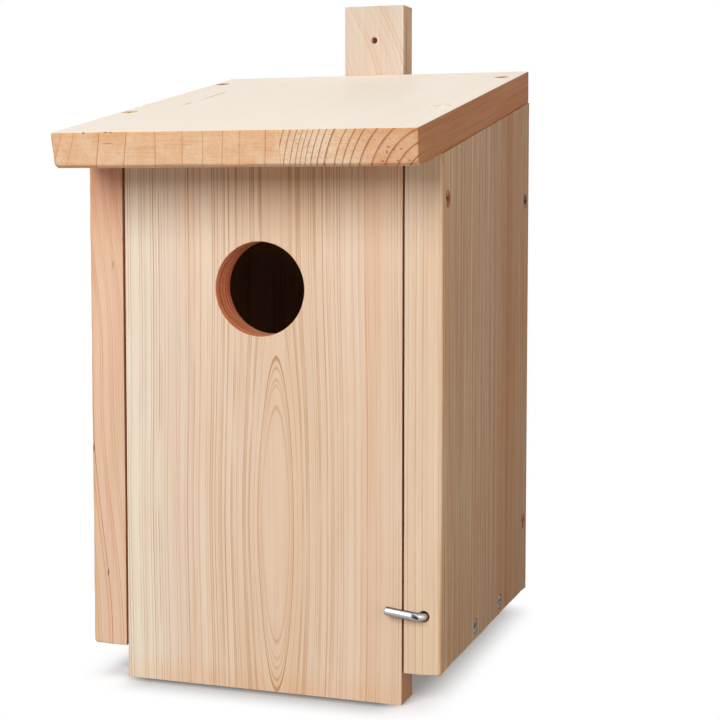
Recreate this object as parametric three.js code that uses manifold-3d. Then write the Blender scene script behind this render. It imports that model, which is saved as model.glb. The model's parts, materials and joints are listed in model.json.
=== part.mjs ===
import * as THREE from "three";
import { mergeVertices } from "three/addons/utils/BufferGeometryUtils.js";
import Module from "manifold-3d";

const wasm = await Module();
wasm.setup();

// Starling nest box of planed softwood boards, in millimetres with +Z up.
// The front edges of the sides lie in the plane y = 0, the box runs back along +Y, and it stands on z = 0.

// Sides
const boxWidth = 179;
const sideThickness = 18;
const sideDepth = 182;
const sideFrontHeight = 241.5;
const sideOuterRounding = 1.8;

// Roof
const roofPitch = THREE.MathUtils.degToRad(10);
const roofThickness = 17;
const roofOverhang = 36;
const roofSideInset = 0.5;
const roofDripRounding = 2.6;
const roofTopRounding = 1.3;

// Back, floor and lath
const backThickness = 18;
const floorThickness = 18;
const drainDiameter = 5;
const drainInset = 22;
const lathWidth = 35;
const lathThickness = 17;
const lathOffset = -1;
const lathRise = 39;
const nailHoleDiameter = 3.5;
const nailHoleDrop = 19.5;

// Cleaning door
const doorThickness = 18;
const doorSideGap = 1;
const doorDrop = 15.5;
const doorStopGap = 0.5;
const doorSwingClearance = 1.5;
const pivotDrop = 20.8;
const entranceDiameter = 45;
const entranceDrop = 63;
const entranceEasing = 0.5;
const kerfCount = 5;
const kerfPitch = 12;
const kerfWidth = 3;
const kerfDepth = 2;
const kerfStart = 15;

// Countersunk wood screws
const screwDiameter = 3.5;
const screwHeadDiameter = 7.2;
const screwHeadRim = 0.5;
const screwTipLength = 5;
const screwLength = 35;
const lathScrewLength = 30;
const sideScrewSink = 0.9;
const roofScrewSink = 0.3;
const lathScrewSink = 0.5;

// Where the screws go
const roofScrewFrontSetback = 36;
const roofScrewBackSetback = 25;
const roofScrewLeftInset = 6.5;
const roofScrewRightInset = 9.3;
const backScrewUpperDrop = 53.3;
const backScrewLowerHeight = 40;
const floorScrewHeight = 7.5;
const floorScrewSetback = 46.5;
const lathScrewHeightShares = { lower: 0.14, middle: 0.5, upper: 0.86 };

// Bent wire screw hook
const hookWireDiameter = 3.8;
const hookReach = 19.2;
const hookBendRadius = 4.4;
const hookDoorGap = 1.1;
const hookShankLength = 26;
const hookTipLength = 6;
const bendHandleShare = 0.5523;
const hookTilt = THREE.MathUtils.degToRad(9);
const hookHeight = 27.6;
const hookInset = 8.3;
const hookMouthDiameter = 5.6;
const hookMouthDepth = 6;

// Shared clearances, edge easing and facets
const jointGap = 0.3;
const screwGap = 0.3;
const arris = 0.5;
const arrisRoundingShare = 1.4;
const cutOverrun = 2;
const cornerSegments = 4;
const arrisSegments = 2;
const screwFacets = 20;
const holeFacets = 72;
const wireFacets = 12;
const wireSteps = 48;

// Sizes that follow from the ones above
const arrisRounding = arrisRoundingShare * arris;
const boxHalf = boxWidth / 2;
const innerHalf = boxHalf - sideThickness;
const sideBottom = doorDrop;
const sideFrontTop = sideBottom + sideFrontHeight;
const roofSlope = Math.tan(roofPitch);
const roofNormal = new THREE.Vector3(0, -Math.sin(roofPitch), Math.cos(roofPitch));
const roofUnderside = (y) => sideFrontTop + y * roofSlope;
const sideBackTop = roofUnderside(sideDepth);
const roofUpright = roofThickness / Math.cos(roofPitch);
const backFront = sideDepth - backThickness;
const floorFront = doorThickness + doorStopGap;
const floorBack = backFront - jointGap;
const floorBottom = sideBottom;
const floorTop = floorBottom + floorThickness;
const lathFront = sideDepth + jointGap;
const lathBack = lathFront + lathThickness;
const lathTop = sideBackTop + roofUpright + lathRise;
const doorHalf = innerHalf - doorSideGap;
const pivotY = doorThickness / 2;
const pivotZ = sideFrontTop - pivotDrop;
const pivotToRoof = (roofUnderside(pivotY) - pivotZ) * Math.cos(roofPitch);
const doorHead = Math.sqrt((pivotToRoof - doorSwingClearance) ** 2 - pivotY ** 2);
const doorTop = pivotZ + doorHead;
const entranceZ = sideFrontTop - entranceDrop;
const backScrewY = sideDepth - backThickness / 2;
const hookWireRadius = hookWireDiameter / 2;
const hookStandoff = hookWireRadius + hookDoorGap;

const axisX = new THREE.Vector3(1, 0, 0);
const axisY = new THREE.Vector3(0, 1, 0);
const axisZ = new THREE.Vector3(0, 0, 1);

const pine = { color: 0xe3c39b, roughness: 0.72, metalness: 0 };
const palePine = { color: 0xecd6b6, roughness: 0.7, metalness: 0 };
const warmPine = { color: 0xdcb187, roughness: 0.74, metalness: 0 };
const yellowZinc = { color: 0xb08a45, roughness: 0.38, metalness: 1 };
const brownZinc = { color: 0x7d5331, roughness: 0.45, metalness: 1 };
const brightZinc = { color: 0xc9ccd0, roughness: 0.22, metalness: 1 };

// A solid takes booleans, and a geometry is what a mesh shows.
function toSolid(geometry) {
  const bare = geometry.clone();
  bare.deleteAttribute("normal");
  bare.deleteAttribute("uv");
  const merged = mergeVertices(bare);
  const mesh = new wasm.Mesh({
    numProp: 3,
    vertProperties: new Float32Array(merged.attributes.position.array),
    triVerts: new Uint32Array(merged.index.array),
  });
  return new wasm.Manifold(mesh);
}

function toGeometry(solid) {
  const mesh = solid.getMesh();
  const geometry = new THREE.BufferGeometry();
  geometry.setAttribute("position", new THREE.BufferAttribute(new Float32Array(mesh.vertProperties), 3));
  geometry.setIndex(new THREE.BufferAttribute(new Uint32Array(mesh.triVerts), 1));
  geometry.computeVertexNormals();
  return geometry;
}

// A closed outline through corners given as [across, up, rounding].
function roundedOutline(corners) {
  const points = corners.map(([across, up]) => new THREE.Vector2(across, up));
  const shape = new THREE.Shape();
  corners.forEach(([, , rounding], i) => {
    const corner = points[i];
    const before = points[(i + corners.length - 1) % corners.length];
    const after = points[(i + 1) % corners.length];
    const start = before.clone().sub(corner).setLength(rounding).add(corner);
    const end = after.clone().sub(corner).setLength(rounding).add(corner);
    if (i === 0) shape.moveTo(start.x, start.y);
    else shape.lineTo(start.x, start.y);
    shape.quadraticCurveTo(corner.x, corner.y, end.x, end.y);
  });
  shape.closePath();
  return shape;
}

// A board sawn from an outline, with its end arrises eased. Its length runs along +Z from the origin.
function board(outline, length) {
  const geometry = new THREE.ExtrudeGeometry(outline, {
    depth: length - 2 * arris,
    bevelThickness: arris,
    bevelSize: arris,
    bevelOffset: -arris,
    bevelSegments: arrisSegments,
    curveSegments: cornerSegments,
  });
  return geometry.translate(0, 0, arris);
}

// A board whose outline is seen from above, standing on the given height.
function uprightBoard(corners, bottom, height) {
  return toSolid(board(roundedOutline(corners), height).translate(0, 0, bottom));
}

// A board whose outline is seen from the side, as [y, z, rounding], running across the box.
function crosswiseBoard(corners, halfWidth) {
  const geometry = board(roundedOutline(corners), 2 * halfWidth);
  const acrossTheBox = new THREE.Matrix4().makeBasis(axisY, axisZ, axisX);
  return toSolid(geometry.applyMatrix4(acrossTheBox).translate(-halfWidth, 0, 0));
}

// A solid of revolution about an axis through a point, from a profile of [radius, along].
function revolve(profile, facets, at, along) {
  const geometry = new THREE.LatheGeometry(profile.map(([radius, y]) => new THREE.Vector2(radius, y)), facets);
  const turn = new THREE.Quaternion().setFromUnitVectors(axisY, along);
  return toSolid(geometry.applyQuaternion(turn).translate(at.x, at.y, at.z));
}

// The space that the roof takes up, with the joint gap under it.
function roofSpace() {
  const span = 2 * (sideDepth + roofOverhang);
  const height = span;
  const middle = roofNormal.clone().multiplyScalar(height / 2 - jointGap);
  const geometry = new THREE.BoxGeometry(2 * boxWidth, span, height);
  geometry.rotateX(roofPitch);
  return toSolid(geometry.translate(0, middle.y, sideFrontTop + middle.z));
}

function roof() {
  const eaveY = -roofOverhang;
  const eaveZ = roofUnderside(eaveY);
  const eaveTopY = eaveY + roofThickness * roofNormal.y;
  const eaveTopZ = eaveZ + roofThickness * roofNormal.z;
  const section = [
    [eaveY, eaveZ, roofDripRounding],
    [sideDepth, sideBackTop, arrisRounding],
    [sideDepth, sideBackTop + roofUpright, roofTopRounding],
    [eaveTopY, eaveTopZ, roofTopRounding],
  ];
  return crosswiseBoard(section, boxHalf - roofSideInset);
}

// One side, left for -1 and right for +1, with its top sawn to the roof's slope.
function side(hand) {
  const corners = [
    [hand * boxHalf, 0, sideOuterRounding],
    [hand * innerHalf, 0, arrisRounding],
    [hand * innerHalf, sideDepth, arrisRounding],
    [hand * boxHalf, sideDepth, sideOuterRounding],
  ];
  return uprightBoard(corners, sideBottom, sideBackTop - sideBottom).subtract(roofSpace());
}

function backPanel() {
  const half = innerHalf - jointGap;
  const corners = [
    [-half, backFront, arrisRounding],
    [half, backFront, arrisRounding],
    [half, sideDepth, arrisRounding],
    [-half, sideDepth, arrisRounding],
  ];
  return uprightBoard(corners, sideBottom, sideBackTop - sideBottom).subtract(roofSpace());
}

function floorPanel() {
  const section = [
    [floorFront, floorBottom, arrisRounding],
    [floorBack, floorBottom, arrisRounding],
    [floorBack, floorTop, arrisRounding],
    [floorFront, floorTop, arrisRounding],
  ];
  let solid = crosswiseBoard(section, innerHalf - jointGap);
  const drain = [
    [0, -cutOverrun],
    [drainDiameter / 2, -cutOverrun],
    [drainDiameter / 2, floorThickness + cutOverrun],
    [0, floorThickness + cutOverrun],
  ];
  for (const x of [-innerHalf + drainInset, innerHalf - drainInset]) {
    for (const y of [floorFront + drainInset, floorBack - drainInset]) {
      const foot = new THREE.Vector3(x, y, floorBottom);
      solid = solid.subtract(revolve(drain, screwFacets, foot, axisZ));
    }
  }
  return solid;
}

// The front panel: entrance hole with eased rims, and sawn kerfs inside for young birds to climb.
function cleaningDoor() {
  const corners = [
    [-doorHalf, 0, arrisRounding],
    [doorHalf, 0, arrisRounding],
    [doorHalf, doorThickness, arrisRounding],
    [-doorHalf, doorThickness, arrisRounding],
  ];
  const radius = entranceDiameter / 2;
  const flare = radius + entranceEasing + cutOverrun;
  const bore = [
    [0, -cutOverrun],
    [flare, -cutOverrun],
    [radius, entranceEasing],
    [radius, doorThickness - entranceEasing],
    [flare, doorThickness + cutOverrun],
    [0, doorThickness + cutOverrun],
  ];
  const centre = new THREE.Vector3(0, 0, entranceZ);
  let solid = uprightBoard(corners, 0, doorTop).subtract(revolve(bore, holeFacets, centre, axisY));
  const kerfReach = kerfDepth + cutOverrun;
  for (let i = 0; i < kerfCount; i += 1) {
    const z = entranceZ - radius - kerfStart - i * kerfPitch;
    const kerf = new THREE.BoxGeometry(boxWidth, kerfReach, kerfWidth);
    kerf.translate(0, doorThickness - kerfDepth + kerfReach / 2, z);
    solid = solid.subtract(toSolid(kerf));
  }
  return solid;
}

function hangingLath() {
  const corners = [
    [lathOffset - lathWidth / 2, lathFront, arrisRounding],
    [lathOffset + lathWidth / 2, lathFront, arrisRounding],
    [lathOffset + lathWidth / 2, lathBack, arrisRounding],
    [lathOffset - lathWidth / 2, lathBack, arrisRounding],
  ];
  const bore = [
    [0, -cutOverrun],
    [nailHoleDiameter / 2, -cutOverrun],
    [nailHoleDiameter / 2, lathThickness + cutOverrun],
    [0, lathThickness + cutOverrun],
  ];
  const mouth = new THREE.Vector3(lathOffset, lathFront, lathTop - nailHoleDrop);
  return uprightBoard(corners, 0, lathTop).subtract(revolve(bore, screwFacets, mouth, axisY));
}

// The wire leaves its hole, bends through a right angle and lies across the door's edge.
function screwHook() {
  const elbow = new THREE.Vector3(0, -hookStandoff, 0);
  const bendStart = new THREE.Vector3(-hookBendRadius, -hookStandoff, 0);
  const bendEnd = new THREE.Vector3(0, hookBendRadius - hookStandoff, 0);
  const startHandle = bendStart.clone().lerp(elbow, bendHandleShare);
  const endHandle = bendEnd.clone().lerp(elbow, bendHandleShare);
  const armEnd = new THREE.Vector3(-hookReach, -hookStandoff, 0);
  const tipStart = hookShankLength - hookTipLength;
  const shankEnd = new THREE.Vector3(0, tipStart, 0);
  const path = new THREE.CurvePath();
  path.add(new THREE.LineCurve3(armEnd, bendStart));
  path.add(new THREE.CubicBezierCurve3(bendStart, startHandle, endHandle, bendEnd));
  path.add(new THREE.LineCurve3(bendEnd, shankEnd));
  const wire = new THREE.Shape().absarc(0, 0, hookWireRadius, 0, 2 * Math.PI);
  const bent = new THREE.ExtrudeGeometry(wire, {
    extrudePath: path,
    steps: wireSteps,
    curveSegments: wireFacets / 2,
  });
  const point = [
    [0, tipStart - hookWireRadius],
    [hookWireRadius - screwGap / 2, tipStart - hookWireRadius],
    [hookWireRadius - screwGap / 2, tipStart],
    [0, hookShankLength],
  ];
  return toSolid(bent).add(revolve(point, wireFacets, new THREE.Vector3(), axisY));
}

// The hole that the hook turns in: a wider mouth for its bend, then the pilot hole.
function hookBore(mouth) {
  const pilotRadius = hookWireRadius + screwGap;
  const profile = [
    [0, -cutOverrun],
    [hookMouthDiameter / 2, -cutOverrun],
    [hookMouthDiameter / 2, hookMouthDepth],
    [pilotRadius, hookMouthDepth],
    [pilotRadius, hookShankLength + screwGap],
    [0, hookShankLength + screwGap],
  ];
  return revolve(profile, screwFacets, mouth, axisY);
}

// A countersunk screw's profile from its tip to its head, grown by a gap for the hole it sits in.
function screwProfile(length, gap, headTop) {
  const shank = screwDiameter / 2 + gap;
  const head = screwHeadDiameter / 2 + gap;
  const cone = (screwHeadDiameter - screwDiameter) / 2;
  return [
    [0, -length - gap],
    [shank, -length - gap + screwTipLength],
    [shank, -screwHeadRim - cone - gap],
    [head, -screwHeadRim - gap],
    [head, headTop],
    [0, headTop],
  ];
}

const solids = {
  roof: roof(),
  left_side: side(-1),
  right_side: side(1),
  back_panel: backPanel(),
  floor_panel: floorPanel(),
  front_panel: cleaningDoor(),
  hanging_lath: hangingLath(),
};

const nestBox = new THREE.Group();

function addMesh(name, geometry, finish) {
  const mesh = new THREE.Mesh(geometry, new THREE.MeshStandardMaterial(finish));
  mesh.name = name;
  nestBox.add(mesh);
  return mesh;
}

// Drives one screw from a point on a board's face, and bores the boards that it holds together.
function addScrew(name, { face, outward, length, sink, finish, holds }) {
  const seat = face.clone().addScaledVector(outward, -sink);
  const hole = revolve(screwProfile(length, screwGap, sink + cutOverrun), screwFacets, seat, outward);
  for (const boardName of holds) {
    solids[boardName] = solids[boardName].subtract(hole);
  }
  const origin = new THREE.Vector3();
  const screw = addMesh(name, toGeometry(revolve(screwProfile(length, 0, 0), screwFacets, origin, axisY)), finish);
  screw.position.copy(seat);
  screw.quaternion.setFromUnitVectors(axisY, outward);
}

// Roof screws stand square to the slope, over the top edges of the sides.
const roofRows = { front: roofScrewFrontSetback, back: sideDepth - roofScrewBackSetback };
const hands = {
  left: { sign: -1, roofInset: roofScrewLeftInset, backFinish: yellowZinc },
  right: { sign: 1, roofInset: roofScrewRightInset, backFinish: yellowZinc },
};
for (const [hand, { sign, roofInset }] of Object.entries(hands)) {
  for (const [row, y] of Object.entries(roofRows)) {
    const x = sign * (boxHalf - roofInset);
    const top = new THREE.Vector3(x, y, roofUnderside(y)).addScaledVector(roofNormal, roofThickness);
    addScrew(`roof_screw_${row}_${hand}`, {
      face: top,
      outward: roofNormal,
      length: screwLength,
      sink: roofScrewSink,
      finish: row === "back" && hand === "left" ? brownZinc : yellowZinc,
      holds: ["roof", `${hand}_side`],
    });
  }
}

// Screws through the sides: the door's pivots, and those that hold the back and the floor.
const sideScrews = {
  pivot_screw: { y: pivotY, z: pivotZ, finish: yellowZinc, into: "front_panel" },
  back_screw_upper: {
    y: backScrewY,
    z: roofUnderside(backScrewY) - backScrewUpperDrop,
    finish: yellowZinc,
    into: "back_panel",
  },
  back_screw_lower: {
    y: backScrewY,
    z: sideBottom + backScrewLowerHeight,
    finish: yellowZinc,
    into: "back_panel",
  },
  floor_screw_front: {
    y: floorFront + floorScrewSetback,
    z: floorBottom + floorScrewHeight,
    finish: brightZinc,
    into: "floor_panel",
  },
  floor_screw_back: {
    y: floorBack - floorScrewSetback,
    z: floorBottom + floorScrewHeight,
    finish: brightZinc,
    into: "floor_panel",
  },
};
for (const [hand, { sign }] of Object.entries(hands)) {
  for (const [kind, { y, z, finish, into }] of Object.entries(sideScrews)) {
    addScrew(`${kind}_${hand}`, {
      face: new THREE.Vector3(sign * boxHalf, y, z),
      outward: axisX.clone().multiplyScalar(sign),
      length: screwLength,
      sink: sideScrewSink,
      finish,
      holds: [`${hand}_side`, into],
    });
  }
}

// Lath screws go in from behind.
for (const [row, share] of Object.entries(lathScrewHeightShares)) {
  const z = sideBottom + share * (sideBackTop - sideBottom);
  addScrew(`lath_screw_${row}`, {
    face: new THREE.Vector3(lathOffset, lathBack, z),
    outward: axisY,
    length: lathScrewLength,
    sink: lathScrewSink,
    finish: brightZinc,
    holds: ["hanging_lath", "back_panel"],
  });
}

// The hook stands in the front edge of the right side, turned so that its arm keeps the door shut.
const hookMouth = new THREE.Vector3(boxHalf - hookInset, 0, sideBottom + hookHeight);
solids.right_side = solids.right_side.subtract(hookBore(hookMouth));
const hook = addMesh("turn_hook", toGeometry(screwHook()), brightZinc);
hook.position.copy(hookMouth);
hook.rotation.y = hookTilt;

const boardFinishes = {
  roof: palePine,
  left_side: warmPine,
  right_side: pine,
  back_panel: pine,
  floor_panel: warmPine,
  front_panel: palePine,
  hanging_lath: pine,
};
for (const [name, finish] of Object.entries(boardFinishes)) {
  addMesh(name, toGeometry(solids[name]), finish);
}

// The origin is on the floor under the middle of the whole box, roof and lath included.
const middle = new THREE.Box3().setFromObject(nestBox, true).getCenter(new THREE.Vector3());
nestBox.position.y = -middle.y;

export default nestBox;
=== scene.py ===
import json
import math
from types import SimpleNamespace

import bmesh
import bpy
import numpy as np
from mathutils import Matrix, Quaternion, Vector

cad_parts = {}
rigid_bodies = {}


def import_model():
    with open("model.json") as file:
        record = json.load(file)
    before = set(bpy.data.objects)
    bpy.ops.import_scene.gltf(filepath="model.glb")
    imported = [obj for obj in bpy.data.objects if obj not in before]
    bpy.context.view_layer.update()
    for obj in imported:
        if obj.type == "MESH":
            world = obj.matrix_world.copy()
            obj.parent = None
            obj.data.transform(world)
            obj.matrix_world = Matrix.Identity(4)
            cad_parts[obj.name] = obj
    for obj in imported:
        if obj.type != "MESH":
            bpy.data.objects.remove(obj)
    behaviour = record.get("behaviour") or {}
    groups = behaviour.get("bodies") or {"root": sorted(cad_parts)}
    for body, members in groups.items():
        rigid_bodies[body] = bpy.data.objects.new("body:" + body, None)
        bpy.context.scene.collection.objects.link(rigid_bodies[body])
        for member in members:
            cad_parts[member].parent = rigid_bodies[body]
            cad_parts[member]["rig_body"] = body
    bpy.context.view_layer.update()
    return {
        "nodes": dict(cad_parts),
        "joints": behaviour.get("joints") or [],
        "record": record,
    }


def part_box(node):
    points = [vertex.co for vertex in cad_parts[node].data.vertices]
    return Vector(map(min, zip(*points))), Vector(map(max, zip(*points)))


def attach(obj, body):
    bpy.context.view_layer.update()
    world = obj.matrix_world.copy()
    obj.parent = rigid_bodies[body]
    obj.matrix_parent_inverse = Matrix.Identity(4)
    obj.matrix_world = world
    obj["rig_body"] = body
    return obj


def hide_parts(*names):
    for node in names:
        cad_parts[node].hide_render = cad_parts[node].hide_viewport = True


# A starling nest box of planed softwood. Shapes are in metres, and the grain is in millimetres.
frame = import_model()
mm = 0.001
leftward, rightward = (-1.0, 0.0, 0.0), (1.0, 0.0, 0.0)
forward, backward = (0.0, -1.0, 0.0), (0.0, 1.0, 0.0)  # the entrance faces forward
upward = (0.0, 0.0, 1.0)
slotOfNode = {part["node"]: part["material_slot"] for part in frame["record"]["subparts"]}
print("frame loaded:", len(frame["nodes"]), "nodes")


# Camera

cameraSettings = {
    "location": (0.285638, -0.801821, 0.239584),
    "azimuth": 19.5277,  # degrees to the right of the box's front
    "pitch": 4.1573,  # degrees down
    "roll": -0.0901,  # degrees
    "focalLength": 82.0655,  # mm, on the sensor below
    "sensorWidth": 36.0,
    "imageSize": 720,
    "axisPixel": (318.7, 311.1),  # where the lens axis meets the picture
}


# The camera looks along (-sin azimuth, cos azimuth), tipped down by the pitch.
def makeCamera(settings):
    azimuth = math.radians(settings["azimuth"])
    pitch = math.radians(settings["pitch"])
    level = math.cos(pitch)
    ahead = Vector((-math.sin(azimuth) * level, math.cos(azimuth) * level, -math.sin(pitch)))
    lens = bpy.data.cameras.new("camera")
    lens.lens = settings["focalLength"]
    lens.sensor_width = settings["sensorWidth"]
    lens.clip_start = 0.01
    middle = settings["imageSize"] / 2
    lens.shift_x = (middle - settings["axisPixel"][0]) / settings["imageSize"]
    lens.shift_y = (settings["axisPixel"][1] - middle) / settings["imageSize"]
    camera = bpy.data.objects.new("camera", lens)
    camera.location = settings["location"]
    camera.rotation_mode = "QUATERNION"
    rolled = Quaternion((0.0, 0.0, 1.0), math.radians(settings["roll"]))
    camera.rotation_quaternion = ahead.to_track_quat("-Z", "Y") @ rolled
    bpy.context.scene.collection.objects.link(camera)
    bpy.context.scene.camera = camera


makeCamera(cameraSettings)
print("camera placed")


# Shader maths

# One output of a shader tree. Sums on it add Math nodes, and node() adds any other node.
class Wire:
    def __init__(self, tree, socket=None):
        self.tree = tree
        self.socket = socket

    # A node of this type. Its settings are set first, and then its inputs, by name or number.
    def node(self, kind, settings=None, inputs=None, output=0):
        made = self.tree.nodes.new(kind)
        for key, value in (settings or {}).items():
            setattr(made, key, value)
        for key, value in (inputs or {}).items():
            if isinstance(value, Wire):
                self.tree.links.new(value.socket, made.inputs[key])
            elif made.inputs[key].type == "RGBA":
                made.inputs[key].default_value = (*value, 1.0)
            else:
                made.inputs[key].default_value = value
        return Wire(self.tree, made.outputs[output] if made.outputs else None)

    def math(self, operation, *terms):
        return self.node("ShaderNodeMath", {"operation": operation}, dict(enumerate(terms)))

    def __add__(self, other):
        return self.math("ADD", self, other)

    def __radd__(self, other):
        return self.math("ADD", other, self)

    def __sub__(self, other):
        return self.math("SUBTRACT", self, other)

    def __rsub__(self, other):
        return self.math("SUBTRACT", other, self)

    def __mul__(self, other):
        return self.math("MULTIPLY", self, other)

    def __rmul__(self, other):
        return self.math("MULTIPLY", other, self)

    def __truediv__(self, other):
        return self.math("DIVIDE", self, other)

    def __rtruediv__(self, other):
        return self.math("DIVIDE", other, self)

    def size(self):
        return self.math("ABSOLUTE", self)

    def root(self):
        return self.math("SQRT", self)

    def floor(self):
        return self.math("FLOOR", self)

    def atLeast(self, other):
        return self.math("MAXIMUM", self, other)

    # 0 below the low value, 1 above the high value, and a smooth rise between them.
    def rise(self, low, high):
        settings = {"interpolation_type": "SMOOTHSTEP"}
        return self.node("ShaderNodeMapRange", settings, {"Value": self, "From Min": low, "From Max": high})

    # How many of these places, in rising order, a number has passed, with an even rise between each two.
    def ladder(self, places):
        total = 0.0
        for low, high in zip(places[:-1], places[1:]):
            inputs = {"Value": self, "From Min": low, "From Max": high}
            total = total + self.node("ShaderNodeMapRange", {}, inputs)
        return total

    # Smooth noise from 0 to 1 over a vector, or along a line with a number.
    def noise(self, scale, detail=2.0, roughness=0.5):
        inputs = {"Vector": self, "Scale": scale, "Detail": detail, "Roughness": roughness}
        return self.node("ShaderNodeTexNoise", {"noise_dimensions": "3D"}, inputs)

    def lineNoise(self, scale, detail=1.0):
        inputs = {"W": self, "Scale": scale, "Detail": detail}
        return self.node("ShaderNodeTexNoise", {"noise_dimensions": "1D"}, inputs)

    # Vector maths on this vector and another one. The last name picks a number instead of a vector.
    def vector(self, operation, other=(0.0, 0.0, 0.0), output=0):
        return self.node("ShaderNodeVectorMath", {"operation": operation}, {0: self, 1: other}, output)

    def dot(self, direction):
        return self.vector("DOT_PRODUCT", direction, "Value")

    def length(self):
        return self.vector("LENGTH", output="Value")

    # This vector with each part multiplied by its own factor.
    def stretch(self, factors):
        return self.vector("MULTIPLY", factors)


# The second colour laid over the first, or multiplied into it, by a mask from 0 to 1. A colour that isn't a
# wire is red, green and blue.
def blendColours(mask, first, second, how="MIX"):
    settings = {"data_type": "RGBA", "blend_type": how}
    return mask.node("ShaderNodeMix", settings, {0: mask, 6: first, 7: second}, 2)


def tinted(tone, mask, tint):
    return blendColours(mask, tone, tint, "MULTIPLY")


def newMaterial(name):
    material = bpy.data.materials.new(name)
    material.use_nodes = True
    material.node_tree.nodes.clear()
    return material, Wire(material.node_tree)


# A Principled shader: fixed numbers on its own sockets, and wires for what changes over the surface.
def finishMaterial(start, fixed, wires):
    shader = start.node("ShaderNodeBsdfPrincipled", {}, {**fixed, **wires})
    start.node("ShaderNodeOutputMaterial", {}, {"Surface": shader})


# Studio

studio = {
    "lightLevel": 0.08,  # of the surroundings
    "lightTint": (1.0, 0.97, 0.93),
    "softboxes": {  # azimuth, elevation, distance, size, tint, and the level that a white card would show
        "keyLight": (-14, 28, 2.2, 1.5, (1.0, 1.0, 1.0), 0.88),
        "fillLight": (58, 8, 2.4, 1.6, (1.0, 0.86, 0.74), 0.34),
        "topLight": (-80, 78, 2.0, 1.3, (1.0, 1.0, 1.0), 0.33),
        "backLight": (186, 8, 2.4, 1.6, (1.0, 0.97, 0.93), 0.36),
    },
    "floorBright": (0.93, 0.955, 0.985),  # as the camera sees it
    "floorDull": (0.30, 0.29, 0.27),  # as it lights the box
    "floorLift": 0.17,  # how much it glows for the camera
    "contactShades": [(7 * mm, 3.6), (75 * mm, 1.5)],  # reach and power of the shade before the door's foot
    "shadeRun": 30 * mm,  # how far behind the sides' front edges that shade fades in
    "shadeEnds": (5 * mm, -14 * mm),  # past the back panel's ends, where it is gone and where it is full
    "floorReach": 4.0,
    "floorRingShares": (0, 1 / 16, 1 / 8, 1 / 4, 1 / 2, 1),
    "floorFacets": 96,
    "aim": (0.0, 0.0, 0.17),  # where the softboxes look
    "shadowReach": 29 * mm,  # how far from the foot of the box its shadow fades to white
    "shadowAside": 4 * mm,  # how far its middle lies to the left of the box's
}


# A softbox on a sphere round the box's middle, aimed at it. Its power is its level times the square of pi
# times its distance.
def makeSoftbox(name, azimuth, elevation, distance, size, tint, level):
    azimuth, elevation = math.radians(azimuth), math.radians(elevation)
    flat = math.cos(elevation)
    away = Vector((math.sin(azimuth) * flat, -math.cos(azimuth) * flat, math.sin(elevation)))
    lamp = bpy.data.lights.new(name, "AREA")
    lamp.shape = "RECTANGLE"
    lamp.size = lamp.size_y = size
    lamp.color = tint
    lamp.energy = level * (math.pi * distance) ** 2
    light = bpy.data.objects.new(name, lamp)
    light.location = Vector(studio["aim"]) + away * distance
    light.rotation_mode = "QUATERNION"
    light.rotation_quaternion = away.to_track_quat("Z", "Y")
    bpy.context.scene.collection.objects.link(light)


# 1 for what the camera sees straight, in a reflection or through glass.
def seenDirectly(start):
    rays = ("Is Camera Ray", "Is Glossy Ray", "Is Transmission Ray")
    seen = [start.node("ShaderNodeLightPath", {}, {}, ray) for ray in rays]
    return seen[0].atLeast(seen[1]).atLeast(seen[2])


def makeWorld(settings):
    world = bpy.data.worlds.new("studio")
    bpy.context.scene.world = world
    world.use_nodes = True
    world.node_tree.nodes.clear()
    start = Wire(world.node_tree)
    inputs = {"Color": settings["lightTint"], "Strength": settings["lightLevel"]}
    light = start.node("ShaderNodeBackground", {}, inputs)
    white = start.node("ShaderNodeBackground", {}, {"Color": (1, 1, 1), "Strength": 1.0})
    mixed = start.node("ShaderNodeMixShader", {}, {0: seenDirectly(start), 1: light, 2: white})
    start.node("ShaderNodeOutputWorld", {}, {"Surface": mixed})


# The floor is a flat disc: a point's place is its radius times (cos angle, sin angle).
def makeFloor(settings):
    radius = settings["floorReach"] * np.array(settings["floorRingShares"])
    ring, turn = np.meshgrid(radius, fullTurn(settings["floorFacets"]), indexing="ij")
    points = np.stack([ring * np.cos(turn), ring * np.sin(turn), 0 * ring], -1)
    floor = meshPiece("floor", [(points, gridFaces(points.shape[:2], True))], floorMaterial(settings))


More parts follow.
